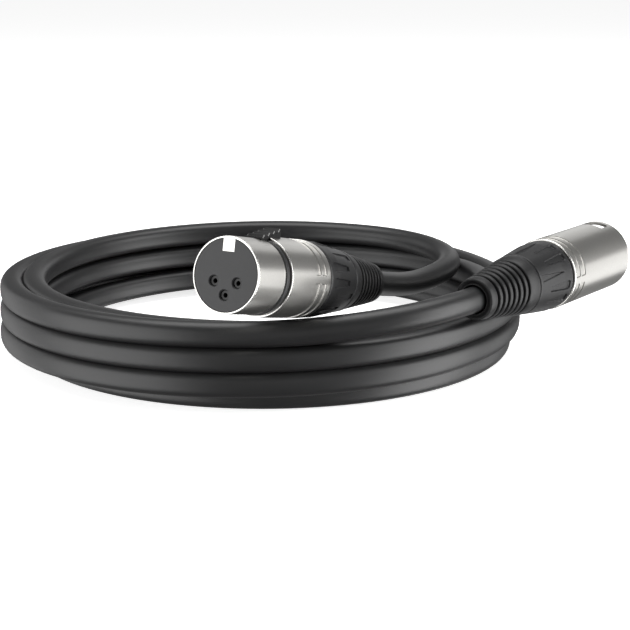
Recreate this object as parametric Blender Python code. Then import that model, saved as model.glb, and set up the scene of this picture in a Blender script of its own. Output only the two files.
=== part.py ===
"""XLR microphone cable, wound into a coil: a three-pole female cable connector, a three-pole male
cable connector and about 2.4 m of cable between them. Metres, +Z up, the coil lies on z = 0 and its
axis is the Z axis. The female connector leans on the coil with its face up and forward (-Y), and
the male connector leaves the top turn at the right (+X)."""

import math

import bmesh
import bpy
import numpy as np
from mathutils import Matrix, Vector

for old in list(bpy.data.objects):
    bpy.data.objects.remove(old, do_unlink=True)

MM = 0.001

# ---------------------------------------------------------------- driving dimensions (mm)
CABLE_D = 6.3            # outer diameter of the cable
COIL_R = 67.2            # mean radius of the outer column of turns
COIL_R_IN = 61.2         # mean radius of the inner column of turns
START_Z = 20.5           # height of the top outer turn where it starts
PITCH = 5.84             # drop of the outer column in one turn
RING_TOP = 11.4          # top of the wound block under the two top turns
TURN_R = 2.7             # the top turns press into each other, so they are drawn this thick

FRONT_R = 8.45           # female barrel, which goes into the male shell
BARREL = 11.2            # length of that barrel
BODY_R = 9.1             # female body behind the ring
FEMALE_METAL = 30.7      # face to the rear end of the female shell
MALE_R = 9.3             # male shell
MALE_METAL = 31.7        # rim to the rear end of the male shell
SOCKET_DEPTH = 13.0      # depth of the male shell's open mouth
BUSHING = 15.0           # length of the grip nut that shows
BOOT = 19.8              # length of the ribbed boot
BOOT_END_R = 5.05
SEAM_R = 7.7
GAP = 0.3
POLES = ((-2.94, -1.5), (2.94, -1.5), (0.0, -4.35))   # three contacts, seen from the front

FEMALE_FACE = Vector((-4.4, -89.0, 38.0)) * MM
FEMALE_AXIS = Vector((0.4877, 0.8460, -0.2154)).normalized()   # face to rear
FEMALE_ROLL = math.radians(-0.5)
FEMALE_LEN = FEMALE_METAL + GAP + BUSHING + BOOT
MALE_REAR = Vector((53.0, -49.4, 23.2)) * MM
MALE_AXIS = (MALE_REAR - Vector((93.7, 5.6, 23.3)) * MM).normalized()   # rim to rear
MALE_LEN = MALE_METAL + GAP + BUSHING + BOOT

ORIGIN = Vector((14.720, -11.408, 0.0)) * MM   # bottom centre of the whole object's bounding box

LATCH_T = 23.6           # the latch swings about trunnions this far behind the face
LATCH_Y = 6.2


# ---------------------------------------------------------------- the cable's route
def wound(s):
    """Centreline of the wound part in mm. s counts turns clockwise, seen from above, from +X: the
    outer column goes down from s = 0 to 3, and the inner column climbs back from 3 to 6."""
    s = np.asarray(s, float)

    def eased(at, value, width=0.06):
        steps = np.linspace(-width, width, 9)
        return sum(np.interp(s + o, at, value) for o in steps) / 9

    lie = CABLE_D / 2
    low = START_Z - 2.45 * PITCH
    z = eased(
        [0, 2.45, 2.715, 3.45, 3.70, 3.82, 3.95, 4.08, 4.75, 4.85, 5.0, 5.1, 5.75, 6.0],
        [START_Z, low, lie, lie, 4.3, 5.9, 9.0, 10.7, 12.3, 13.1, 16.0, 17.1, 19.1, 19.9],
    )
    inner = COIL_R_IN
    rad = eased(
        [0, 2.70, 2.80, 2.88, 3.0, 3.25, 3.45, 3.65, 3.78, 3.88, 3.98, 4.15, 4.5, 6.0],
        [COIL_R - 0.3, COIL_R + 0.3, 65.0, 63.9, 63.2, 62.3, inner + 0.2, inner - 1, inner - 2,
         inner - 2.2, inner - 1.6, inner - 0.4, inner, inner],
    )
    turn = -2 * math.pi * s
    return np.stack([rad * np.cos(turn), rad * np.sin(turn), z], -1)


def heading(s):
    d = wound(s + 1e-3) - wound(s - 1e-3)
    return d / np.linalg.norm(d)


def spline(points, start, end, count):
    """Smooth curve through the points, with the given end directions."""
    p = np.asarray(points, float)
    h = np.linalg.norm(np.diff(p, axis=0), axis=1)
    at = np.concatenate([[0], np.cumsum(h)])
    k = len(p)
    a = np.eye(k)
    b = np.zeros((k, 3))
    b[0], b[-1] = start, end
    for i in range(1, k - 1):
        a[i, i - 1], a[i, i], a[i, i + 1] = h[i], 2 * (h[i - 1] + h[i]), h[i - 1]
        b[i] = 3 * (h[i] * (p[i] - p[i - 1]) / h[i - 1] + h[i - 1] * (p[i + 1] - p[i]) / h[i])
    m = np.linalg.solve(a, b)
    out = []
    for u in np.linspace(0, at[-1], count):
        i = min(max(int(np.searchsorted(at, u)) - 1, 0), k - 2)
        t = (u - at[i]) / h[i]
        out.append(
            (2 * t**3 - 3 * t**2 + 1) * p[i] + (t**3 - 2 * t**2 + t) * h[i] * m[i]
            + (3 * t**2 - 2 * t**3) * p[i + 1] + (t**3 - t**2) * h[i] * m[i + 1]
        )
    return np.array(out)


MALE_JOINS = 0.27        # where the male lead has joined the top outer turn
FEMALE_JOINS = 5.835     # where the female lead leaves the top inner turn
male_rear = np.array(MALE_REAR) / MM
male_axis = np.array(MALE_AXIS)
female_rear = (np.array(FEMALE_FACE) / MM) + np.array(FEMALE_AXIS) * FEMALE_LEN
female_axis = np.array(FEMALE_AXIS)


def male_lead(count):
    """From the male boot's rear end to the top outer turn."""
    end = wound(MALE_JOINS)
    reach = 1.15
    out = []
    span = np.linalg.norm(end - male_rear) * reach
    for t in np.linspace(0, 1, count):
        out.append(
            (2 * t**3 - 3 * t**2 + 1) * male_rear + (t**3 - 2 * t**2 + t) * span * male_axis
            + (3 * t**2 - 2 * t**3) * end + (t**3 - t**2) * span * heading(MALE_JOINS)
        )
    return np.array(out)


def female_lead(count):
    """From the top inner turn to the female boot's rear end."""
    through = [wound(FEMALE_JOINS), (49.8, 31.0, 19.4), (51.8, 10.0, 18.9), (42.5, -7.0, 18.3), female_rear]
    return spline(through, heading(FEMALE_JOINS), -female_axis, count)


# ---------------------------------------------------------------- helpers
def material(name, colour, rough, metal=0.0):
    m = bpy.data.materials.new(name)
    m.use_nodes = True
    shader = m.node_tree.nodes["Principled BSDF"]
    shader.inputs["Base Color"].default_value = (*colour, 1)
    shader.inputs["Roughness"].default_value = rough
    shader.inputs["Metallic"].default_value = metal
    m.diffuse_color = (*colour, 1)
    return m


NICKEL = material("satin_nickel", (0.55, 0.54, 0.52), 0.32, 1.0)
STEEL = material("spring_steel", (0.45, 0.45, 0.46), 0.35, 1.0)
SILVER = material("contact_metal", (0.75, 0.74, 0.70), 0.25, 1.0)
INSERT = material("insert_plastic", (0.08, 0.08, 0.08), 0.55)
BLACK = material("black_plastic", (0.03, 0.03, 0.03), 0.45)
RUBBER = material("boot_rubber", (0.025, 0.025, 0.025), 0.6)
WHITE = material("chuck_plastic", (0.75, 0.74, 0.70), 0.5)
JACKET = material("cable_jacket", (0.02, 0.02, 0.02), 0.4)
RED = material("core_red", (0.5, 0.03, 0.03), 0.45)
PALE = material("core_white", (0.7, 0.68, 0.65), 0.45)
COPPER = material("drain_copper", (0.6, 0.3, 0.18), 0.35, 1.0)


def seat(axis, roll):
    """Rotation of a connector: local +Y to its latch side, local -Z from front to rear, and local
    +X to the right of someone who looks at its front."""
    up = Vector((0, 0, 1))
    up = (up - axis * up.dot(axis)).normalized()
    right = axis.cross(up)
    y = math.cos(roll) * up + math.sin(roll) * right
    x = math.cos(roll) * right - math.sin(roll) * up
    return Matrix((x, y, -axis)).transposed().to_4x4()


def empty(name, place, turn):
    e = bpy.data.objects.new(name, None)
    bpy.context.scene.collection.objects.link(e)
    e.empty_display_size = 0.01
    e.matrix_world = Matrix.Translation(place) @ turn
    return e


female_seat = empty("female_seat", FEMALE_FACE, seat(FEMALE_AXIS, FEMALE_ROLL))
male_seat = empty("male_seat", MALE_REAR - MALE_AXIS * MALE_LEN * MM, seat(MALE_AXIS, 0.0))
latch_seat = empty(
    "latch_seat",
    female_seat.matrix_world @ Vector((0, LATCH_Y * MM, -LATCH_T * MM)),
    seat(FEMALE_AXIS, FEMALE_ROLL),
)


def put(name, bm, mat, parent=None, smooth=True, helper=False):
    bmesh.ops.recalc_face_normals(bm, faces=bm.faces)
    mesh = bpy.data.meshes.new(name)
    bm.to_mesh(mesh)
    bm.free()
    obj = bpy.data.objects.new(name, mesh)
    bpy.context.scene.collection.objects.link(obj)
    if parent:
        obj.parent = parent
    if helper:
        obj.hide_render = True
        obj.display_type = "WIRE"
        return obj
    mesh.materials.append(mat)
    if smooth:
        mesh.shade_smooth()
        mesh.set_sharp_from_angle(angle=math.radians(35))
    return obj


def lathe(profile, sides=28, closed=True, at=(0.0, 0.0)):
    """Solid of revolution about an axis parallel to local Z. The profile is a list of (radius, t) in
    mm, with t measured from the front backwards, and a radius of 0 is a point on the axis."""
    bm = bmesh.new()
    rings = []
    for r, t in profile:
        if r == 0:
            rings.append([bm.verts.new((at[0] * MM, at[1] * MM, -t * MM))])
            continue
        rings.append([
            bm.verts.new((
                (at[0] + r * math.cos(2 * math.pi * (i + 0.5) / sides)) * MM,
                (at[1] + r * math.sin(2 * math.pi * (i + 0.5) / sides)) * MM,
                -t * MM,
            ))
            for i in range(sides)
        ])
    pairs = list(zip(rings, rings[1:]))
    if closed:
        pairs.append((rings[-1], rings[0]))
    for a, b in pairs:
        for i in range(sides):
            j = (i + 1) % sides
            if len(a) == 1 and len(b) == 1:
                break
            if len(a) == 1:
                bm.faces.new((a[0], b[i], b[j]))
            elif len(b) == 1:
                bm.faces.new((a[i], b[0], a[j]))
            else:
                bm.faces.new((a[i], b[i], b[j], a[j]))
    return bm


def block(x0, x1, y0, y1, t0, t1):
    bm = bmesh.new()
    corners = [
        bm.verts.new((x * MM, y * MM, -t * MM))
        for x in (x0, x1) for y in (y0, y1) for t in (t0, t1)
    ]
    for f in ((0, 1, 3, 2), (4, 6, 7, 5), (0, 4, 5, 1), (2, 3, 7, 6), (0, 2, 6, 4), (1, 5, 7, 3)):
        bm.faces.new([corners[i] for i in f])
    return bm


def boolean(obj, tool, how="DIFFERENCE"):
    m = obj.modifiers.new(how.lower(), "BOOLEAN")
    m.operation = how
    m.object = tool
    return m


def side_outline(points, half):
    """Prism across local X: the outline is a list of (y, t) in mm, and half is its half width."""
    bm = bmesh.new()
    left = [bm.verts.new((-half * MM, y * MM, -t * MM)) for y, t in points]
    right = [bm.verts.new((half * MM, y * MM, -t * MM)) for y, t in points]
    bm.faces.new(left)
    bm.faces.new(list(reversed(right)))
    n = len(points)
    for i in range(n):
        j = (i + 1) % n
        bm.faces.new((left[j], left[i], right[i], right[j]))
    return bm


def tube(name, points, radius, mat, sides=2):
    """A plain tube through the points, which are in mm."""
    curve = bpy.data.curves.new(name, "CURVE")
    curve.dimensions = "3D"
    curve.bevel_depth = radius * MM
    curve.bevel_resolution = sides
    curve.use_fill_caps = True
    line = curve.splines.new("POLY")
    line.points.add(len(points) - 1)
    for p, q in zip(line.points, points):
        p.co = (q[0] * MM, q[1] * MM, q[2] * MM, 1)
    obj = bpy.data.objects.new(name, curve)
    bpy.context.scene.collection.objects.link(obj)
    curve.materials.append(mat)
    return obj


# ---------------------------------------------------------------- pieces that both ends share
def bushing_profile(front):
    """Grip nut: a spigot that screws into the shell, and the tapered grip behind it."""
    back = front + GAP + BUSHING
    return [
        (6.9, front - 4.0), (7.45, front - 4.0), (7.45, front + GAP), (8.9, front + GAP), (9.05, front + 1.0),
        (8.9, front + 4.0), (8.35, front + 9.0), (SEAM_R, back - GAP), (6.0, back - GAP), (6.0, back - 2.2),
        (6.9, back - 3.2),
    ]


def boot_profile(front):
    """Ribbed strain-relief boot, from its collar at the grip nut to its rear ring."""
    start = front + GAP + BUSHING
    end = start + BOOT
    out = [(3.5, start - 1.6), (5.6, start - 1.6), (5.6, start), (SEAM_R - 0.1, start), (7.35, start + 3.6)]
    grooves, pitch, half = 7, 2.05, 0.45
    for i in reversed(range(grooves)):
        t = end - 2.9 - pitch * i
        r = 5.45 + (7.05 - 5.45) * i / (grooves - 1)
        out += [(r + 0.05, t - half - 0.1), (r - 0.8, t - half), (r - 0.8, t + half), (r - 0.05, t + half + 0.1)]
    return out + [(5.25, end - 0.4), (4.9, end), (3.9, end), (3.5, end - 0.6)]


def chuck(name, parent, front):
    """Slit collet that the grip nut closes on the cable."""
    body = put(name, lathe([
        (3.5, front - 1.0), (6.1, front - 1.0), (6.5, front), (6.5, front + 9.0), (5.2, front + 10.4), (3.5, front + 10.4),
    ], 24), WHITE, parent)
    for i, (x0, x1, y0, y1) in enumerate(((2, 8, -0.45, 0.45), (-8, -2, -0.45, 0.45), (-0.45, 0.45, 2, 8), (-0.45, 0.45, -8, -2))):
        slit = put(f"{name}_slit_{i}", block(x0, x1, y0, y1, front + 2.0, front + 12.0), None, parent, helper=True)
        boolean(body, slit)
    return body


def conductor(name, parent, pole, start, end, mat):
    """Insulated core from the cut end of the jacket to a contact's solder cup."""
    turn = parent.matrix_world
    mid = (start + end) / 2
    local = [
        (pole[0], pole[1], -start), (pole[0], pole[1], -(start + 1.0)),
        (pole[0] * 0.68, pole[1] * 0.66, -mid), (pole[0] * 0.42, pole[1] * 0.36, -(end - 1.0)),
        (pole[0] * 0.42, pole[1] * 0.36, -end),
    ]
    points = [np.array(turn @ (Vector(p) * MM)) / MM for p in local]
    return tube(name, points, 0.6, mat, 1)


# ---------------------------------------------------------------- female connector
shell = put("female_shell", lathe([
    (8.05, 0.0), (8.25, 0.0), (FRONT_R, 0.2), (FRONT_R, BARREL), (8.0, BARREL), (8.0, BARREL + 1.7),
    (BODY_R, BARREL + 1.7), (BODY_R, 23.8), (8.85, 23.8), (8.85, 26.0), (BODY_R, 26.0), (BODY_R, 26.7),
    (8.85, 26.7), (8.85, 28.9), (BODY_R, 28.9), (BODY_R - 0.1, FEMALE_METAL), (7.8, FEMALE_METAL),
    (7.8, 22.0), (7.6, 21.4), (7.6, 9.2), (8.05, 9.0),
], 36), NICKEL, female_seat)
key = put("female_key", block(-1.5, 1.5, 5.1, 8.25, 0.35, 8.6), None, female_seat, smooth=False, helper=True)
boolean(shell, key, "UNION")
slot = put("female_latch_slot", block(-2.6, 2.6, 5.0, 12.0, 9.2, 17.9), None, female_seat, helper=True)
boolean(shell, slot)

ring = put("female_ring", lathe([
    (8.3, BARREL + GAP), (8.75, BARREL + GAP), (8.75, BARREL + 1.7 - GAP), (8.3, BARREL + 1.7 - GAP),
], 36), BLACK, female_seat)
ring_slot = put("female_ring_slot", block(-2.9, 2.9, 5.0, 12.0, 9.0, 25.0), None, female_seat, helper=True)
boolean(ring, ring_slot)

insert = put("female_insert", lathe([(0, 0.3), (7.75, 0.3), (7.75, 8.6), (7.2, 8.8), (7.2, 20.5), (0, 20.5)], 32, closed=False), INSERT, female_seat)
keyway = put("female_keyway", block(-1.85, 1.85, 4.7, 9.0, -1.0, 9.3), None, female_seat, helper=True)
boolean(insert, keyway)
deck = put("female_latch_deck", block(-9.0, 9.0, 3.9, 9.0, 9.25, 22.0), None, female_seat, helper=True)
boolean(insert, deck)
for i, pole in enumerate(POLES, 1):
    bore = put(f"female_bore_{i}", lathe([
        (0, -0.5), (1.15, -0.5), (1.15, 2.0), (1.8, 2.0), (1.8, 21.5), (0, 21.5),
    ], 16, closed=False, at=pole), None, female_seat, helper=True)
    boolean(insert, bore)
    put(f"female_contact_{i}", lathe([
        (1.1, 2.4), (1.5, 2.4), (1.5, 20.0), (1.15, 20.4), (1.15, 23.6), (0.7, 23.6), (0.7, 21.6), (0, 21.6),
        (0, 13.0), (1.1, 13.0),
    ], 14, closed=True, at=pole), SILVER, female_seat)

latch = put("female_latch", side_outline([(y - LATCH_Y, t - LATCH_T) for y, t in (
    (6.2, 9.6), (9.1, 9.6), (9.6, 10.2), (11.4, 16.6), (11.2, 17.1), (7.1, 17.3), (7.1, 24.5), (6.2, 24.5),
)], 2.2), BLACK, latch_seat, smooth=False)
trunnion_mesh = lathe([(0, -2.9), (0.7, -2.9), (0.7, 2.9), (0, 2.9)], 12, closed=False)
bmesh.ops.rotate(trunnion_mesh, verts=trunnion_mesh.verts, matrix=Matrix.Rotation(math.pi / 2, 3, "Y"))
trunnion = put("female_latch_trunnion", trunnion_mesh, None, latch_seat, helper=True)
boolean(latch, trunnion, "UNION")
leaf = put("female_latch_spring", side_outline([
    (5.9 - LATCH_Y, 20.0 - LATCH_T), (5.9 - LATCH_Y, 16.5 - LATCH_T), (5.35 - LATCH_Y, 12.0 - LATCH_T),
    (4.95 - LATCH_Y, 12.0 - LATCH_T), (5.5 - LATCH_Y, 16.5 - LATCH_T), (5.5 - LATCH_Y, 20.0 - LATCH_T),
], 1.5), STEEL, latch_seat, smooth=False)

put("female_bushing", lathe(bushing_profile(FEMALE_METAL), 32), BLACK, female_seat)
put("female_boot", lathe(boot_profile(FEMALE_METAL), 24), RUBBER, female_seat)
chuck("female_chuck", female_seat, FEMALE_METAL - 1.0)

# ---------------------------------------------------------------- male connector
shell = put("male_shell", lathe([
    (8.55, 0.3), (8.75, 0.0), (9.1, 0.0), (MALE_R, 0.3), (MALE_R, 25.9), (9.05, 25.9), (9.05, 28.1), (MALE_R, 28.1),
    (MALE_R, 28.6), (9.05, 28.6), (9.05, 30.8), (MALE_R, 30.8), (MALE_R - 0.1, MALE_METAL), (7.8, MALE_METAL),
    (7.8, SOCKET_DEPTH + 1.6), (8.0, SOCKET_DEPTH), (8.55, SOCKET_DEPTH),
], 36), NICKEL, male_seat)
window = put("male_window", block(-3.5, 3.5, 6.0, 12.0, 1.9, 6.1), None, male_seat, helper=True)
boolean(shell, window)

insert = put("male_insert", lathe([(0, SOCKET_DEPTH), (7.65, SOCKET_DEPTH + 0.1), (7.45, SOCKET_DEPTH + 1.9), (7.45, 22.5), (0, 22.5)], 32, closed=False), INSERT, male_seat)
for i, pole in enumerate(POLES, 1):
    pole = (-pole[0], pole[1])
    bore = put(f"male_bore_{i}", lathe([(0, 8.0), (1.5, 8.0), (1.5, 25.0), (0, 25.0)], 14, closed=False, at=pole), None, male_seat, helper=True)
    boolean(insert, bore)
    put(f"male_pin_{i}", lathe([
        (0, 1.8), (0.55, 1.9), (1.0, 2.7), (1.0, SOCKET_DEPTH + 1.0), (1.2, SOCKET_DEPTH + 1.4), (1.2, 24.6), (0.7, 24.6),
        (0.7, 22.8), (0, 22.8),
    ], 14, closed=False, at=pole), SILVER, male_seat)
put("male_bushing", lathe(bushing_profile(MALE_METAL), 32), BLACK, male_seat)
put("male_boot", lathe(boot_profile(MALE_METAL), 24), RUBBER, male_seat)
chuck("male_chuck", male_seat, MALE_METAL - 1.0)

# ---------------------------------------------------------------- cable
# The block of turns under the two top turns is one plain ring; each top turn is a tube with its lead.
ring_in, ring_out = COIL_R_IN - 2.2 - CABLE_D / 2, COIL_R + 0.3 + CABLE_D / 2
bm = bmesh.new()
outline = [
    (ring_out, 1.6), (ring_out, RING_TOP - 1.6), (ring_out - 1.6, RING_TOP), (ring_in + 1.6, RING_TOP),
    (ring_in, RING_TOP - 1.6), (ring_in, 1.6), (ring_in + 1.6, 0.0), (ring_out - 1.6, 0.0),
]
coil = put("cable_coil", lathe([(r, -z) for r, z in outline], 72), JACKET)

STEP = 0.031             # turns between points: a little over two diameters
END_OUTER, END_INNER = 0.955, 5.19
female_cut, male_cut = FEMALE_METAL - 0.5, MALE_METAL - 0.5   # where the jacket ends inside a connector
inside_male = [male_rear - male_axis * u for u in (MALE_LEN - male_cut, 18.0, 0.0)]
lead = male_lead(7)
run = wound(np.arange(MALE_JOINS, END_OUTER, STEP))
tube("cable_top_outer_turn", inside_male[:-1] + list(lead[:-1]) + list(run), TURN_R, JACKET)

inside_female = [female_rear - female_axis * u for u in (0.0, 18.0, FEMALE_LEN - female_cut)]
run = wound(np.arange(END_INNER, FEMALE_JOINS - 0.4 * STEP, STEP))
lead = female_lead(9)
tube("cable_top_inner_turn", list(run) + list(lead[:-1]) + inside_female, TURN_R, JACKET)

bpy.context.view_layer.update()
for end, start, cut, parent in (("female", 23.9, female_cut, female_seat), ("male", 24.9, male_cut, male_seat)):
    for i, (name, mat) in enumerate((("hot", RED), ("cold", PALE), ("drain", COPPER))):
        pole = POLES[i] if end == "female" else (-POLES[i][0], POLES[i][1])
        conductor(f"{end}_{name}_core", parent, pole, start, cut - 0.4, mat)

# Everything above is laid out about the coil's axis.
for obj in bpy.data.objects:
    if obj.parent is None:
        obj.location -= ORIGIN
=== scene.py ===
"""XLR cable coil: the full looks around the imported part. Metres, +Z up."""

import math

import bmesh
import bpy
import numpy as np
from mathutils import Matrix, Vector


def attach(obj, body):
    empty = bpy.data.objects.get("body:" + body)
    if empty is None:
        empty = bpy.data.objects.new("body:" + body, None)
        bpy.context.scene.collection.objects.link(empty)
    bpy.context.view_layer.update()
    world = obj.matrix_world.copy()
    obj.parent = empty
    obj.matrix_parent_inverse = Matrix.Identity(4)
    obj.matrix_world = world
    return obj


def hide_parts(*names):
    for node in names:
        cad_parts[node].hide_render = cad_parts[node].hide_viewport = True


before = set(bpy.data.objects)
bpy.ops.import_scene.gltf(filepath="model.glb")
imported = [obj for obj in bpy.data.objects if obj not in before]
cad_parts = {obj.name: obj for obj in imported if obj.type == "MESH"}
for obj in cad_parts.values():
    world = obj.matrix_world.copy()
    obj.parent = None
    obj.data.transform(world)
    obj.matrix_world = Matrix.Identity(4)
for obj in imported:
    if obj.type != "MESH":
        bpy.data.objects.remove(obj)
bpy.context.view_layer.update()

MM = 0.001
BODY, LATCH_BODY = "cable_and_connectors", "latch"

# ------------------------------------------------------------------ layout, as in the CAD (mm)
SHIFT = np.array([14.720, -11.408, 0.0])      # from the coil's axis to the frame's origin
CABLE_R = 3.15
COIL_R, COIL_R_IN, START_Z, PITCH = 67.2, 61.2, 20.5, 5.84
FEMALE_FACE = np.array([-4.4, -89.0, 38.0])
FEMALE_AXIS = np.array([0.4877, 0.8460, -0.2154])
FEMALE_AXIS = FEMALE_AXIS / np.linalg.norm(FEMALE_AXIS)
FEMALE_ROLL = math.radians(-0.5)
MALE_REAR = np.array([53.0, -49.4, 23.2])
MALE_AXIS = MALE_REAR - np.array([93.7, 5.6, 23.3])
MALE_AXIS = MALE_AXIS / np.linalg.norm(MALE_AXIS)
BARREL, FEMALE_METAL, MALE_METAL, GAP, BUSHING, BOOT = 11.2, 30.7, 31.7, 0.3, 15.0, 19.8
FEMALE_LEN = FEMALE_METAL + GAP + BUSHING + BOOT
MALE_LEN = MALE_METAL + GAP + BUSHING + BOOT
FRONT_R, BODY_R, MALE_R, SOCKET_DEPTH, SEAM_R = 8.45, 9.1, 9.3, 13.0, 7.7
POLES = ((-2.94, -1.5), (2.94, -1.5), (0.0, -4.35))
LATCH_T, LATCH_Y = 23.6, 6.2


# ------------------------------------------------------------------ the cable's route
def wound(s):
    s = np.asarray(s, float)

    def eased(at, value, width=0.06):
        return sum(np.interp(s + o, at, value) for o in np.linspace(-width, width, 9)) / 9

    lie, inner = CABLE_R, COIL_R_IN
    z = eased(
        [0, 2.45, 2.75, 2.95, 3.45, 3.70, 3.82, 3.95, 4.08, 4.75, 4.85, 5.0, 5.1, 5.75, 6.0],
        [START_Z, START_Z - 2.45 * PITCH, 4.1, lie, lie, 5.2, 6.6, 9.2, 10.7, 12.3, 13.1, 16.0, 17.1, 19.1, 19.9],
    )
    rad = eased(
        [0, 2.70, 2.80, 2.88, 3.0, 3.12, 3.25, 3.34, 3.45, 3.65, 3.78, 3.88, 3.98, 4.15, 4.5, 6.0],
        [COIL_R - 0.3, COIL_R + 0.3, 65.8, 65.4, 65.2, 64.2, 62.4, 61.2, inner - 0.4, inner - 1, inner - 2,
         inner - 2.2, inner - 1.6, inner - 0.4, inner, inner],
    )
    turn = -2 * math.pi * s
    return np.stack([rad * np.cos(turn), rad * np.sin(turn), z], -1)


def heading(s):
    d = wound(s + 1e-3) - wound(s - 1e-3)
    return d / np.linalg.norm(d)


def spline(points, start, end, count):
    p = np.asarray(points, float)
    h = np.linalg.norm(np.diff(p, axis=0), axis=1)
    at = np.concatenate([[0], np.cumsum(h)])
    k = len(p)
    a, b = np.eye(k), np.zeros((k, 3))
    b[0], b[-1] = start, end
    for i in range(1, k - 1):
        a[i, i - 1], a[i, i], a[i, i + 1] = h[i], 2 * (h[i - 1] + h[i]), h[i - 1]
        b[i] = 3 * (h[i] * (p[i] - p[i - 1]) / h[i - 1] + h[i - 1] * (p[i + 1] - p[i]) / h[i])
    m = np.linalg.solve(a, b)
    out = []
    for u in np.linspace(0, at[-1], count):
        i = min(max(int(np.searchsorted(at, u)) - 1, 0), k - 2)
        t = (u - at[i]) / h[i]
        out.append(
            (2 * t**3 - 3 * t**2 + 1) * p[i] + (t**3 - 2 * t**2 + t) * h[i] * m[i]
            + (3 * t**2 - 2 * t**3) * p[i + 1] + (t**3 - t**2) * h[i] * m[i + 1]
        )
    return np.array(out)


MALE_JOINS, FEMALE_JOINS, PER_TURN = 0.27, 5.835, 120
female_rear = FEMALE_FACE + FEMALE_AXIS * FEMALE_LEN


def male_lead(count):
    end, axis = wound(MALE_JOINS), MALE_AXIS
    span = np.linalg.norm(end - MALE_REAR) * 1.15
    t = np.linspace(0, 1, count)[:, None]
    return (
        (2 * t**3 - 3 * t**2 + 1) * MALE_REAR + (t**3 - 2 * t**2 + t) * span * axis
        + (3 * t**2 - 2 * t**3) * end + (t**3 - t**2) * span * heading(MALE_JOINS)
    )


def female_lead(count):
    through = [wound(FEMALE_JOINS), (49.8, 31.0, 19.4), (51.8, 10.0, 18.9), (42.5, -7.0, 18.3), female_rear]
    return spline(through, heading(FEMALE_JOINS), -FEMALE_AXIS, count)


def route():
    inside_male = [MALE_REAR - MALE_AXIS * u for u in (9.0, 6.0, 3.0)]
    inside_female = [female_rear - FEMALE_AXIS * u for u in (3.0, 6.0, 9.0)]
    s = np.arange(MALE_JOINS, FEMALE_JOINS - 0.5 / PER_TURN, 1.0 / PER_TURN)
    return np.concatenate([inside_male, male_lead(30)[:-1], wound(s), female_lead(46), inside_female])


# ------------------------------------------------------------------ procedural materials
def nodes_of(name):
    m = bpy.data.materials.new(name)
    m.use_nodes = True
    tree = m.node_tree
    return m, tree, tree.nodes["Principled BSDF"]


def plastic(name, colour, rough, grain=900.0, bump=0.02, rough_vary=0.06, specular=0.5, mottle=0.12):
    """Moulded plastic or rubber: a slightly uneven colour and gloss, with a fine grain."""
    m, tree, shader = nodes_of(name)
    new, link = tree.nodes.new, tree.links.new
    where = new("ShaderNodeTexCoord")
    fine = new("ShaderNodeTexNoise")
    fine.inputs["Scale"].default_value = grain
    fine.inputs["Detail"].default_value = 4
    broad = new("ShaderNodeTexNoise")
    broad.inputs["Scale"].default_value = 60
    broad.inputs["Detail"].default_value = 3
    for n in (fine, broad):
        link(where.outputs["Object"], n.inputs["Vector"])
    tint = new("ShaderNodeValToRGB")
    tint.color_ramp.elements[0].position, tint.color_ramp.elements[1].position = 0.35, 0.65
    tint.color_ramp.elements[0].color = (*[c * (1 - mottle) for c in colour], 1)
    tint.color_ramp.elements[1].color = (*[c * (1 + mottle) for c in colour], 1)
    link(broad.outputs["Fac"], tint.inputs["Fac"])
    link(tint.outputs["Color"], shader.inputs["Base Color"])
    span = new("ShaderNodeMapRange")
    span.inputs["To Min"].default_value = rough - rough_vary
    span.inputs["To Max"].default_value = rough + rough_vary
    link(fine.outputs["Fac"], span.inputs["Value"])
    link(span.outputs["Result"], shader.inputs["Roughness"])
    shader.inputs["Specular IOR Level"].default_value = specular
    if bump:
        b = new("ShaderNodeBump")
        b.inputs["Strength"].default_value = bump * 10
        b.inputs["Distance"].default_value = 0.00003
        link(fine.outputs["Fac"], b.inputs["Height"])
        link(b.outputs["Normal"], shader.inputs["Normal"])
    return m


def metal(name, colour, rough, grain=2600.0, vary=0.05, bump=0.25, mottle=0.04):
    """Plated metal: a satin grain, or polished where the grain is left out."""
    m, tree, shader = nodes_of(name)
    new, link = tree.nodes.new, tree.links.new
    where = new("ShaderNodeTexCoord")
    fine = new("ShaderNodeTexNoise")
    fine.inputs["Scale"].default_value = grain
    fine.inputs["Detail"].default_value = 3
    link(where.outputs["Object"], fine.inputs["Vector"])
    tint = new("ShaderNodeValToRGB")
    tint.color_ramp.elements[0].position, tint.color_ramp.elements[1].position = 0.3, 0.7
    tint.color_ramp.elements[0].color = (*[c * (1 - mottle) for c in colour], 1)
    tint.color_ramp.elements[1].color = (*[min(1, c * (1 + mottle)) for c in colour], 1)
    link(fine.outputs["Fac"], tint.inputs["Fac"])
    link(tint.outputs["Color"], shader.inputs["Base Color"])
    span = new("ShaderNodeMapRange")
    span.inputs["To Min"].default_value = max(0.02, rough - vary)
    span.inputs["To Max"].default_value = rough + vary
    link(fine.outputs["Fac"], span.inputs["Value"])
    link(span.outputs["Result"], shader.inputs["Roughness"])
    shader.inputs["Metallic"].default_value = 1.0
    if bump:
        b = new("ShaderNodeBump")
        b.inputs["Strength"].default_value = bump
        b.inputs["Distance"].default_value = 0.00001
        link(fine.outputs["Fac"], b.inputs["Height"])
        link(b.outputs["Normal"], shader.inputs["Normal"])
    return m


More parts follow.
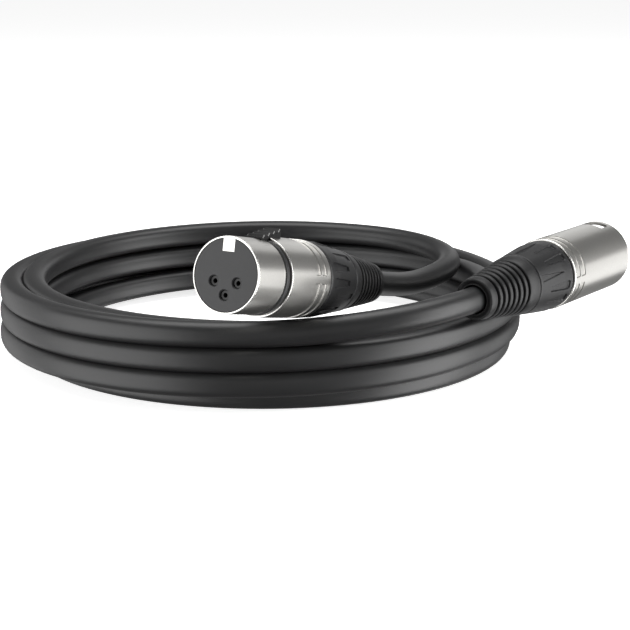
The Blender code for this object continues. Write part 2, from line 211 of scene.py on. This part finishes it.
JACKET = plastic("jacket", (0.010, 0.010, 0.0105), 0.42, grain=1500, bump=0.006, rough_vary=0.03, specular=0.5)
RUBBER = plastic("boot", (0.011, 0.011, 0.0115), 0.46, grain=2200, bump=0.012, specular=0.35)
GRIP = plastic("grip_nut", (0.012, 0.012, 0.0125), 0.42, grain=2600, bump=0.012, specular=0.35)
FACE = plastic("insert", (0.031, 0.031, 0.032), 0.60, grain=2600, bump=0.010, mottle=0.05)
BUTTON = plastic("button", (0.003, 0.003, 0.003), 0.45, grain=2600, bump=0.006, specular=0.18)
# painted highlight: a light grey on the button's ridge edges stands in for the glints of light caught there
BUTTON_GLINT = plastic("button_painted_glint", (0.24, 0.24, 0.235), 0.25, grain=2600, bump=0.0, mottle=0.05)
RINGS = plastic("ring", (0.010, 0.010, 0.0105), 0.45, grain=2600, bump=0.008)
WHITE = plastic("chuck", (0.62, 0.61, 0.57), 0.45, grain=1800, bump=0.010, mottle=0.03)
RED = plastic("core_red", (0.42, 0.02, 0.02), 0.32, grain=1800, bump=0.006)
PALE = plastic("core_white", (0.70, 0.69, 0.66), 0.32, grain=1800, bump=0.006, mottle=0.03)
SATIN = metal("satin_nickel", (0.56, 0.55, 0.525), 0.29, grain=3200, vary=0.03, bump=0.10, mottle=0.05)
BRIGHT = metal("polished_nickel", (0.74, 0.73, 0.70), 0.24, vary=0.02, bump=0.0)
PLATED = metal("contact_plate", (0.80, 0.78, 0.72), 0.16, vary=0.03, bump=0.0)
# painted shade: near-black contacts stand in for the dark inside the female socket holes, not the plating's own colour
CONTACT_SHADE = metal("contact_painted_shade", (0.045, 0.045, 0.045), 0.5, vary=0.04, bump=0.0)
SPRING = metal("spring_steel", (0.50, 0.50, 0.50), 0.30, vary=0.05)
COPPER = metal("drain_copper", (0.72, 0.40, 0.24), 0.34, vary=0.05)


# ------------------------------------------------------------------ helpers
def seat(place, axis, roll):
    a = Vector(axis)
    up = Vector((0, 0, 1))
    up = (up - a * up.dot(a)).normalized()
    right = a.cross(up)
    y = math.cos(roll) * up + math.sin(roll) * right
    x = math.cos(roll) * right - math.sin(roll) * up
    turn = Matrix((x, y, -a)).transposed().to_4x4()
    return Matrix.Translation(Vector(place - SHIFT) * MM) @ turn


FEMALE = seat(FEMALE_FACE, FEMALE_AXIS, FEMALE_ROLL)
MALE = seat(MALE_REAR - MALE_AXIS * MALE_LEN, MALE_AXIS, 0.0)


def put(name, bm, mats, turn, body=BODY, sharp=28, helper=False, normals=True):
    if normals:
        bmesh.ops.recalc_face_normals(bm, faces=bm.faces)
    bm.transform(turn)
    mesh = bpy.data.meshes.new(name)
    bm.to_mesh(mesh)
    bm.free()
    obj = bpy.data.objects.new(name, mesh)
    bpy.context.scene.collection.objects.link(obj)
    for m in mats if isinstance(mats, (list, tuple)) else [mats]:
        mesh.materials.append(m)
    if not helper:
        mesh.shade_smooth()
        mesh.set_sharp_from_angle(angle=math.radians(sharp))
        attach(obj, body)
    return obj


def lathe(profile, sides=144, closed=True, at=(0.0, 0.0), dent=None, mat=None, phis=None):
    """A turned piece about local Z. profile is a list of (radius, t), t backwards from the front.
    dent(r, t, phi) is how far the surface is pressed in, in mm. mat(r0, t0, r1, t1) is a face's slot."""
    bm = bmesh.new()
    if phis is None:
        phis = np.arange(sides) * 2 * math.pi / sides
    n = len(phis)
    rings = []
    for r, t in profile:
        if r == 0:
            rings.append([bm.verts.new((at[0] * MM, at[1] * MM, -t * MM))])
            continue
        ring = []
        for phi in phis:
            rr = r - (dent(r, t, phi) if dent else 0.0)
            ring.append(bm.verts.new(((at[0] + rr * math.cos(phi)) * MM, (at[1] + rr * math.sin(phi)) * MM, -t * MM)))
        rings.append(ring)
    pairs = [(i, i + 1) for i in range(len(rings) - 1)]
    if closed:
        pairs.append((len(rings) - 1, 0))
    for p, q in pairs:
        a, b = rings[p], rings[q]
        k = mat(*profile[p], *profile[q]) if mat else 0
        for i in range(n):
            j = (i + 1) % n
            if len(a) == 1 and len(b) == 1:
                break
            if len(a) == 1:
                f = bm.faces.new((a[0], b[i], b[j]))
            elif len(b) == 1:
                f = bm.faces.new((a[i], b[0], a[j]))
            else:
                f = bm.faces.new((a[i], b[i], b[j], a[j]))
            f.material_index = k
    return bm


def block(x0, x1, y0, y1, t0, t1, bevel=0.0):
    bm = bmesh.new()
    c = [bm.verts.new((x * MM, y * MM, -t * MM)) for x in (x0, x1) for y in (y0, y1) for t in (t0, t1)]
    for f in ((0, 1, 3, 2), (4, 6, 7, 5), (0, 4, 5, 1), (2, 3, 7, 6), (0, 2, 6, 4), (1, 5, 7, 3)):
        bm.faces.new([c[i] for i in f])
    bmesh.ops.recalc_face_normals(bm, faces=bm.faces)
    if bevel:
        bmesh.ops.bevel(bm, geom=bm.edges[:], offset=bevel * MM, segments=3, profile=0.5, affect="EDGES")
    return bm


def cut(obj, bm, turn, how="DIFFERENCE"):
    """Applies a Boolean with that shape, and keeps no helper."""
    tool = put("tool", bm, obj.data.materials[0], turn, helper=True)
    m = obj.modifiers.new("cut", "BOOLEAN")
    m.operation, m.object = how, tool
    bpy.context.view_layer.update()
    graph = bpy.context.evaluated_depsgraph_get()
    mesh = bpy.data.meshes.new_from_object(obj.evaluated_get(graph))
    obj.modifiers.clear()
    old = obj.data
    obj.data = mesh
    bpy.data.meshes.remove(old)
    data = tool.data
    bpy.data.objects.remove(tool)
    bpy.data.meshes.remove(data)
    mesh.shade_smooth()
    mesh.set_sharp_from_angle(angle=math.radians(28))


def several(parts):
    """Separate closed shapes in one mesh, so that one Boolean cuts them all."""
    out = bmesh.new()
    for bm in parts:
        bmesh.ops.recalc_face_normals(bm, faces=bm.faces)
        mesh = bpy.data.meshes.new("part")
        bm.to_mesh(mesh)
        bm.free()
        out.from_mesh(mesh)
        bpy.data.meshes.remove(mesh)
    return out


def arc(cx, cy, r, a0, a1, n=5):
    """Points of a fillet in a (radius, t) profile, angles in degrees."""
    return [
        (cx + r * math.cos(math.radians(a)), cy + r * math.sin(math.radians(a)))
        for a in np.linspace(a0, a1, n)
    ]


def smooth(x, lo, hi):
    x = min(max((x - lo) / (hi - lo), 0.0), 1.0)
    return x * x * (3 - 2 * x)


def wrap(a):
    return (a + math.pi) % (2 * math.pi) - math.pi


def dense(lo, hi, step, marks=(), near=0.16):
    """Positions along t, closer together near the marks."""
    out = set(np.round(np.arange(lo, hi + 1e-6, step), 4))
    for m in marks:
        out |= set(np.round(np.linspace(m - near, m + near, 7), 4))
    return sorted(v for v in out if lo <= v <= hi)


# ------------------------------------------------------------------ pieces that both ends share
BANDS = ((0.0, 2.2), (2.8, 5.0))


def band_dent(start, bridges, depth=0.26, width=1.9, radius=9.1):
    """Two shallow turned bands with a flat bridge across them."""
    half = width / 2 / radius

    def dent(r, t, phi):
        if r < radius - 0.4:
            return 0.0
        d = 0.0
        for a, b in BANDS:
            d = max(d, smooth(t, start + a - 0.05, start + a + 0.12) * (1 - smooth(t, start + b - 0.12, start + b + 0.05)))
        for c in bridges:
            away = abs(wrap(phi - c))
            d *= smooth(away, half - 0.008, half + 0.014)
        return depth * d

    return dent


def around(first):
    """Angles round a shell, closer together at the ends of the two bridges, which are opposite."""
    near = [c + v for c in (first, first + 180.0) for v in (*np.linspace(-8, -4, 9), *np.linspace(4, 8, 9))]
    degrees = {round(float(v) % 360.0, 3) for v in (*np.arange(0, 360, 2.5), *near)}
    return np.radians(sorted(degrees))


def grip_profile(front):
    """The grip nut's outside, from the shell to the seam at the boot."""
    back = front + GAP + BUSHING
    at = front + GAP

    def radius(t):
        u = (t - at) / BUSHING
        return float(np.interp(u, [0, 0.05, 0.30, 0.62, 1.0], [8.85, 9.02, 8.93, 8.40, SEAM_R]))

    return at, back, radius


def grip_nut(name, turn, front, phase):
    at, back, radius = grip_profile(front)
    count = 15
    step = 2 * math.pi / count

    def dent(r, t, phi):
        if r < 7.2 or t < at + 0.8:
            return 0.0
        u = t - at
        k = int(round((phi - phase) / step))
        arc_mm = abs(phi - phase - k * step) * radius(t)
        if k % 3:      # wide and round towards the shell, narrower and square towards the boot
            lo, hi = 1.5, 10.5
            if not lo <= u <= hi:
                return 0.0
            w = 1.26 - 0.065 * (u - lo)
            if u - lo < 1.2:
                w *= math.sqrt(max(0.0, 1 - ((1.2 - (u - lo)) / 1.2) ** 2))
            end = smooth(u, lo, lo + 0.4) * (1 - smooth(u, hi - 0.18, hi))
            deep = 0.42
        else:          # wide towards the boot, drawn to a point towards the shell
            lo, hi = 4.2, 13.9
            if not lo <= u <= hi:
                return 0.0
            w = 0.12 + 0.86 * (u - lo) / (hi - lo)
            if hi - u < 0.6:
                w *= 0.72 + 0.28 * math.sqrt(max(0.0, 1 - ((0.6 - (hi - u)) / 0.6) ** 2))
            end = smooth(u, lo, lo + 0.5) * (1 - smooth(u, hi - 0.18, hi))
            deep = 0.36
        return deep * end * (1 - smooth(arc_mm, w - 0.20, w + 0.02))

    outside = [(radius(t), t) for t in dense(at + 0.22, back - 0.34, 0.30, (at + 1.6, at + 10.4, at + 13.8), 0.3)]
    profile = (
        [(6.9, front - 4.0), (7.45, front - 4.0), (7.45, at), (8.62, at), (8.78, at + 0.06)]
        + outside
        + [(SEAM_R - 0.02, back - 0.24), (SEAM_R - 0.14, back - 0.12), (6.0, back - 0.12), (6.0, back - 2.2), (6.9, back - 3.2)]
    )
    return put(name, lathe(profile, 560, dent=dent), GRIP, turn, sharp=35)


def boot(name, turn, front):
    """Strain relief: a smooth collar, seven ribs and a rear ring around the cable."""
    start = front + GAP + BUSHING
    end = start + BOOT
    profile = [(3.3, start - 1.6), (5.6, start - 1.6), (5.6, start)]
    profile += [(SEAM_R - 0.30, start), (SEAM_R - 0.12, start + 0.05), (SEAM_R - 0.04, start + 0.22)]
    profile += [(SEAM_R - 0.10, start + 1.2), (7.47, start + 2.4)]
    grooves, pitch, half, deep = 7, 2.05, 0.44, 1.0

    def outer(t):
        return float(np.interp(end - t, [0.0, 2.4, 16.0, 19.8], [5.12, 5.42, 7.15, 7.66]))

    for i in reversed(range(grooves)):
        t = end - 2.9 - pitch * i
        r0, r1 = outer(t - half), outer(t + half)
        profile += arc(r0 - 0.34, t - half - 0.34, 0.34, 20, 90, 5)
        profile += [(r0 - deep, t - half + 0.05), (r1 - deep, t + half - 0.05)]
        profile += arc(r1 - 0.34, t + half + 0.34, 0.34, -90, -20, 5)
        if i:
            profile += [(outer(t + pitch / 2) + 0.03, t + pitch / 2)]
    profile += [(outer(end - 1.2), end - 1.2)] + arc(4.78, end - 0.38, 0.36, 8, 90, 6)
    profile += [(4.5, end - 0.05), (4.05, end - 0.34), (3.92, end - 0.36)] + arc(3.70, end - 0.16, 0.16, 20, 180, 6)
    profile += [(3.5, end - 0.8), (3.3, end - 1.4)]
    return put(name, lathe(profile, 160), RUBBER, turn, sharp=40)


def along(start, end, marks, step=0.9):
    return dense(start, end, step, marks)


# ------------------------------------------------------------------ female connector
start = 23.8
bridge_phis = around(3.4)
marks = [start + v for ab in BANDS for v in ab]
profile = (
    [(8.02, 0.30), (8.06, 0.04), (8.14, 0.0), (8.30, 0.0)] + arc(8.27, 0.18, 0.18, -80, 0, 5)
    + [(FRONT_R, t) for t in (0.6, 2.0, 5.0, 8.0, BARREL - 0.45)] + arc(8.29, BARREL - 0.16, 0.16, 0, 90, 4)
    + [(8.0, BARREL), (8.0, BARREL + 1.75), (8.9, BARREL + 1.75)] + arc(8.92, BARREL + 1.93, 0.18, -80, 0, 4)
    + [(BODY_R, t) for t in along(BARREL + 2.4, FEMALE_METAL - 0.5, marks)]
    + arc(BODY_R - 0.3, FEMALE_METAL - 0.3, 0.3, 0, 90, 5)
    + [(7.8, FEMALE_METAL), (7.8, 22.0), (7.6, 21.4), (7.6, 9.0), (8.02, 8.9)]
)


def shell_mat(r0, t0, r1, t1):
    edge = (t1 <= 0.6 and r0 > 7.9) or (BARREL - 0.5 < t0 <= BARREL and BARREL - 0.5 < t1 <= BARREL + 0.01 and r1 > 8.05)
    edge = edge or (BARREL + 1.7 < t0 and t1 <= BARREL + 2.45 and r0 > 8.5) or (t0 > FEMALE_METAL - 0.6 and r1 > 8.2)
    return 1 if edge else 0


female_shell = put(
    "female_shell_visual",
    lathe(profile, phis=bridge_phis, dent=band_dent(start, [math.radians(3.4), math.radians(183.4)]), mat=shell_mat),
    [SATIN, BRIGHT], FEMALE,
)
cut(female_shell, block(-2.45, 2.45, 5.0, 13.0, 8.7, 17.8, 0.35), FEMALE)
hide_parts("female_shell")

key = put("female_key_rib", block(-1.50, 1.50, 5.05, 8.1, 0.16, 9.0, 0.05), SATIN, FEMALE)

ring = put("female_ring_visual", lathe(
    [(8.05, BARREL + 0.12), (8.45, BARREL + 0.12)] + arc(8.45, BARREL + 0.32, 0.2, -90, 0, 4)
    + arc(8.45, BARREL + 1.43, 0.2, 0, 90, 4) + [(8.05, BARREL + 1.63)], 144), RINGS, FEMALE)
cut(ring, block(-2.9, 2.9, 5.0, 12.0, 9.0, 25.0), FEMALE)
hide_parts("female_ring")

insert = put("female_insert_visual", lathe(
    [(0, 0.10)] + [(r, 0.10) for r in (2, 4, 6, 7.4)] + arc(7.86, 0.22, 0.12, -90, 0, 4) + [(7.98, 8.6), (7.2, 8.8), (7.2, 20.5), (0, 20.5)],
    144, closed=False), [FACE, RINGS], FEMALE)
cut(insert, block(-1.55, 1.55, 5.0, 9.0, -1.0, 9.3), FEMALE)
cut(insert, block(-9.0, 9.0, 3.9, 9.0, 9.25, 22.0), FEMALE)
cut(insert, several([
    lathe([(0, -0.5), (1.38, -0.5), (1.34, 0.12), (1.16, 0.34), (1.16, 2.0), (1.8, 2.1), (1.8, 21.5), (0, 21.5)], 40, closed=False, at=pole)
    for pole in POLES
]), FEMALE)
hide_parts("female_insert")
# the female contacts take the near-black painted shade material, so the socket holes read dark
for i, pole in enumerate(POLES, 1):
    c = put(f"female_contact_{i}_visual", lathe([
        (0.45, 0.86), (0.56, 0.72), (1.02, 0.70), (1.12, 0.85), (1.12, 20.0), (1.1, 23.6), (0.7, 23.6), (0.7, 21.6), (0, 21.6),
        (0, 13.0), (0.42, 13.0)], 32, at=pole), [CONTACT_SHADE], FEMALE)
    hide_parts(f"female_contact_{i}")

# The release button: a lever under the shell, and a ridged thumb pad that stands out of the slot.
outline = [(7.2, 9.65), (8.5, 9.65), (8.8, 9.85)]
crests = []
for k in range(4):
    t, y = 11.0 + 2.1 * k, 9.45 + 0.545 * k
    crests += [len(outline), len(outline) + 1]
    outline += [(y - 0.62, t - 0.62), (y - 0.06, t - 0.18), (y, t), (y - 0.12, t + 0.18), (y - 0.66, t + 0.34), (y - 0.28, t + 1.1)]
outline = outline[:-1] + [(10.4, 17.68), (10.2, 17.75), (7.3, 17.5), (7.1, 17.6), (7.1, 24.5), (6.3, 24.5), (6.3, 9.75)]
bm = bmesh.new()
sections = []
for x, grow in ((-2.15, 0.30), (-1.95, 0.08), (-1.6, 0.0), (1.6, 0.0), (1.95, 0.08), (2.15, 0.30)):
    sections.append([bm.verts.new((x * MM, (y - (grow if y > 8.8 else 0.0)) * MM, -t * MM)) for y, t in outline])
for n, (a, b) in enumerate(zip(sections, sections[1:])):
    for i in range(len(outline)):
        j = (i + 1) % len(outline)
        f = bm.faces.new((a[i], a[j], b[j], b[i]))
        # the crest faces at both side edges get the painted highlight material, lighter than the black button
        f.material_index = 1 if i in crests and n in (0, 4) else 0
bm.faces.new(sections[0])
bm.faces.new(list(reversed(sections[-1])))
button = put("female_latch_visual", bm, [BUTTON, BUTTON_GLINT], FEMALE, body=LATCH_BODY, sharp=24)
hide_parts("female_latch")

nut = grip_nut("female_grip_nut", FEMALE, FEMALE_METAL, math.radians(-24.1))
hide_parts("female_bushing")
female_boot = boot("female_boot_visual", FEMALE, FEMALE_METAL)
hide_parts("female_boot")

# ------------------------------------------------------------------ male connector
start = 25.9
c0 = math.radians(185.0)
bridge_phis = around(5.0)
marks = [start + v for ab in BANDS for v in ab]
profile = (
    arc(8.72, 0.17, 0.17, 180, 270, 4) + [(9.0, 0.0)] + arc(9.08, 0.22, 0.22, -85, 0, 5)
    + [(MALE_R, t) for t in along(0.8, MALE_METAL - 0.5, marks)]
    + arc(MALE_R - 0.3, MALE_METAL - 0.3, 0.3, 0, 90, 5)
    + [(7.8, MALE_METAL), (7.8, SOCKET_DEPTH + 1.6), (8.0, SOCKET_DEPTH), (8.55, SOCKET_DEPTH), (8.55, 6.0)]
)


def male_mat(r0, t0, r1, t1):
    return 1 if (t0 < 0.5 and t1 <= 0.8) or (t0 > MALE_METAL - 0.6 and r1 > 8.2) else 0


male_shell = put(
    "male_shell_visual",
    lathe(profile, phis=bridge_phis, dent=band_dent(start, [c0, c0 - math.pi], radius=9.3), mat=male_mat),
    [SATIN, BRIGHT], MALE,
)
cut(male_shell, block(-3.5, 3.5, 6.0, 12.0, 1.9, 6.1, 0.7), MALE)
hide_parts("male_shell")

insert = put("male_insert_visual", lathe(
    [(0, SOCKET_DEPTH), (4, SOCKET_DEPTH), (7.5, SOCKET_DEPTH), (7.65, SOCKET_DEPTH + 0.15), (7.45, SOCKET_DEPTH + 1.9), (7.45, 22.5), (0, 22.5)],
    96, closed=False), FACE, MALE)
cut(insert, several([
    lathe([(0, 8.0), (1.5, 8.0), (1.5, 25.0), (0, 25.0)], 32, closed=False, at=(-pole[0], pole[1])) for pole in POLES
]), MALE)
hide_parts("male_insert")
for i, pole in enumerate(POLES, 1):
    p = put(f"male_pin_{i}_visual", lathe(
        [(0, 1.8), (0.3, 1.82)] + arc(0.45, 2.35, 0.55, -70, 0, 6) + [(1.0, SOCKET_DEPTH + 1.0), (1.25, SOCKET_DEPTH + 1.4), (1.25, 24.6), (0.7, 24.6), (0.7, 22.8), (0, 22.8)],
        36, closed=False, at=(-pole[0], pole[1])), PLATED, MALE)
    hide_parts(f"male_pin_{i}")
nut = grip_nut("male_grip_nut", MALE, MALE_METAL, math.radians(162.5))
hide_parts("male_bushing")
male_boot = boot("male_boot_visual", MALE, MALE_METAL)
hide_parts("male_boot")

# ------------------------------------------------------------------ the inner pieces keep the CAD's shape
for name, m in (
    ("female_chuck", WHITE), ("male_chuck", WHITE), ("female_latch_spring", SPRING),
    ("female_hot_core", RED), ("male_hot_core", RED), ("female_cold_core", PALE), ("male_cold_core", PALE),
    ("female_drain_core", COPPER), ("male_drain_core", COPPER),
):
    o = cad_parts[name]
    o.data.materials.clear()
    o.data.materials.append(m)

# ------------------------------------------------------------------ the cable
def cable_tube(points, sides=40):
    """The cable as a tube along the points. Where it lies wound, its jacket is pressed a little flat
    against its neighbours; at both leads it is round."""
    bm = bmesh.new()
    n = len(points)
    steps = np.gradient(points, axis=0)
    tangents = steps / np.linalg.norm(steps, axis=1)[:, None]
    run = np.concatenate([[0], np.cumsum(np.linalg.norm(np.diff(points, axis=0), axis=1))])
    total = run[-1]
    rings = []
    for k in range(n):
        t = tangents[k]
        out = np.cross(t, (0.0, 0.0, 1.0))
        out /= np.linalg.norm(out)
        up = np.cross(out, t)
        a, b = run[k], total - run[k]
        square = 2.0 + 0.72 * smooth(a, 60.0, 130.0) * smooth(b, 95.0, 150.0)
        ring = []
        for i in range(sides):
            phi = 2 * math.pi * i / sides
            c, d = math.cos(phi), math.sin(phi)
            r = CABLE_R / (abs(c) ** square + abs(d) ** square) ** (1 / square)
            p = points[k] + (out * c + up * d) * r
            ring.append(bm.verts.new(tuple(p * MM)))
        rings.append(ring)
    for a, b in zip(rings, rings[1:]):
        for i in range(sides):
            j = (i + 1) % sides
            bm.faces.new((a[i], a[j], b[j], b[i]))
    for ring, back in ((rings[0], True), (rings[-1], False)):
        bm.faces.new(list(reversed(ring)) if back else ring)
    bmesh.ops.recalc_face_normals(bm, faces=bm.faces)
    return bm


line = route() - SHIFT
bm = cable_tube(line)
mesh = bpy.data.meshes.new("cable")
bm.to_mesh(mesh)
bm.free()
mesh.materials.append(JACKET)
mesh.shade_smooth()
mesh.set_sharp_from_angle(angle=math.radians(50))
cable = bpy.data.objects.new("cable", mesh)
bpy.context.scene.collection.objects.link(cable)
line = line * MM
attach(cable, BODY)
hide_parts("cable_coil", "cable_top_outer_turn", "cable_top_inner_turn")
[tuple(float(v) for v in p) for p in line]

# ------------------------------------------------------------------ stage
floor_m, tree, shader = nodes_of("floor")
shader.inputs["Base Color"].default_value = (0.92, 0.92, 0.92, 1)
shader.inputs["Roughness"].default_value = 0.9
shader.inputs["Specular IOR Level"].default_value = 0.0
shader.inputs["Emission Color"].default_value = (1, 1, 1, 1)
shader.inputs["Emission Strength"].default_value = 0.75
bm = bmesh.new()
bmesh.ops.create_grid(bm, x_segments=1, y_segments=1, size=6.0)
mesh = bpy.data.meshes.new("floor")
bm.to_mesh(mesh)
bm.free()
mesh.materials.append(floor_m)
floor = bpy.data.objects.new("floor", mesh)
bpy.context.scene.collection.objects.link(floor)
floor.visible_glossy = False
floor.visible_diffuse = False
floor.visible_shadow = False

world = bpy.data.worlds.new("studio")
bpy.context.scene.world = world
world.use_nodes = True
world.node_tree.nodes["Background"].inputs["Color"].default_value = (1, 1, 1, 1)
world.node_tree.nodes["Background"].inputs["Strength"].default_value = 0.20


def softbox(name, place, aim, wide, high, watts):
    data = bpy.data.lights.new(name, "AREA")
    data.shape = "RECTANGLE"
    data.size, data.size_y, data.energy = wide, high, watts
    o = bpy.data.objects.new(name, data)
    bpy.context.scene.collection.objects.link(o)
    o.location = place
    o.rotation_euler = (Vector(aim) - Vector(place)).to_track_quat("-Z", "Y").to_euler()
    return o


softbox("left", (-0.552, -0.281, -0.05), (0, 0, -0.03), 0.72, 0.90, 5.6)
softbox("left_back", (-0.537, 0.31, -0.05), (0, 0, -0.03), 0.40, 0.90, 1.0)
softbox("front", (0.16, -0.80, 0.10), (0, 0, 0.02), 0.60, 0.60, 0.45)
softbox("right", (0.590, -0.158, -0.05), (0, 0, -0.03), 0.46, 0.90, 6.5)
softbox("shine", (0.648, 0.359, -0.117), (0, 0, 0.02), 0.25, 0.37, 0.43)
softbox("back_top", (0.26, 0.645, 0.28), (0, 0, 0.02), 0.30, 0.20, 0.13)
softbox("back_low", (0.24, 0.45, -0.48), (0, 0, 0.02), 0.35, 0.20, 0.22)
softbox("back", (0.10, 0.75, 0.13), (0, 0, 0.03), 0.60, 0.16, 0.20)
softbox("top", (0.0, 0.14, 0.75), (0, 0, 0.0), 0.9, 0.55, 6.0)

camera_data = bpy.data.cameras.new("camera")
camera_data.sensor_width = 36.0
camera_data.lens = 86.51
camera_data.clip_start = 0.01
camera = bpy.data.objects.new("camera", camera_data)
bpy.context.scene.collection.objects.link(camera)
camera.location = (-0.00003, -0.393602, 0.10734)
camera.rotation_euler = (Vector((-0.00003, 0.011408, 0.00717)) - camera.location).to_track_quat("-Z", "Y").to_euler()
bpy.context.scene.camera = camera
bpy.context.scene.view_settings.view_transform = "Standard"
bpy.context.scene.view_settings.look = "None"

bpy.context.view_layer.update()
